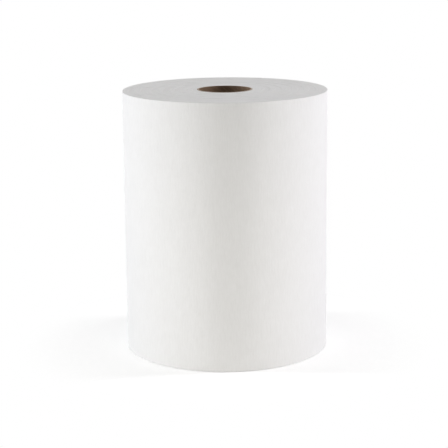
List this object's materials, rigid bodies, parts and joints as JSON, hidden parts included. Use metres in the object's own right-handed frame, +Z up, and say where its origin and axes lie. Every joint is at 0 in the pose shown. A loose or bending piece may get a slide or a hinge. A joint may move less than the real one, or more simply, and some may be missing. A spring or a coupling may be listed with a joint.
{
  "type": "paper towel roll",
  "caption": "Wide roll of white towel paper, wound hard on a brown card core that is open right through, standing on one end to be put on a dispenser's hubs or a spindle.",
  "frame": {"origin": "centre of the lower end, on the surface that the roll stands on", "axes": "+Z up along the roll's axis, -Y to the viewer of the picture, the loose end of the paper on the +Y side"},
  "size_m": [0.1978, 0.198, 0.254],
  "materials": {
    "kraft_card": "matt spirally wound kraft board",
    "towel_paper": "matt, bleached white, finely embossed"
  },
  "bodies": {
    "root": {"card_core": "kraft_card", "wound_towel": "towel_paper"}
  },
  "joints": []
}
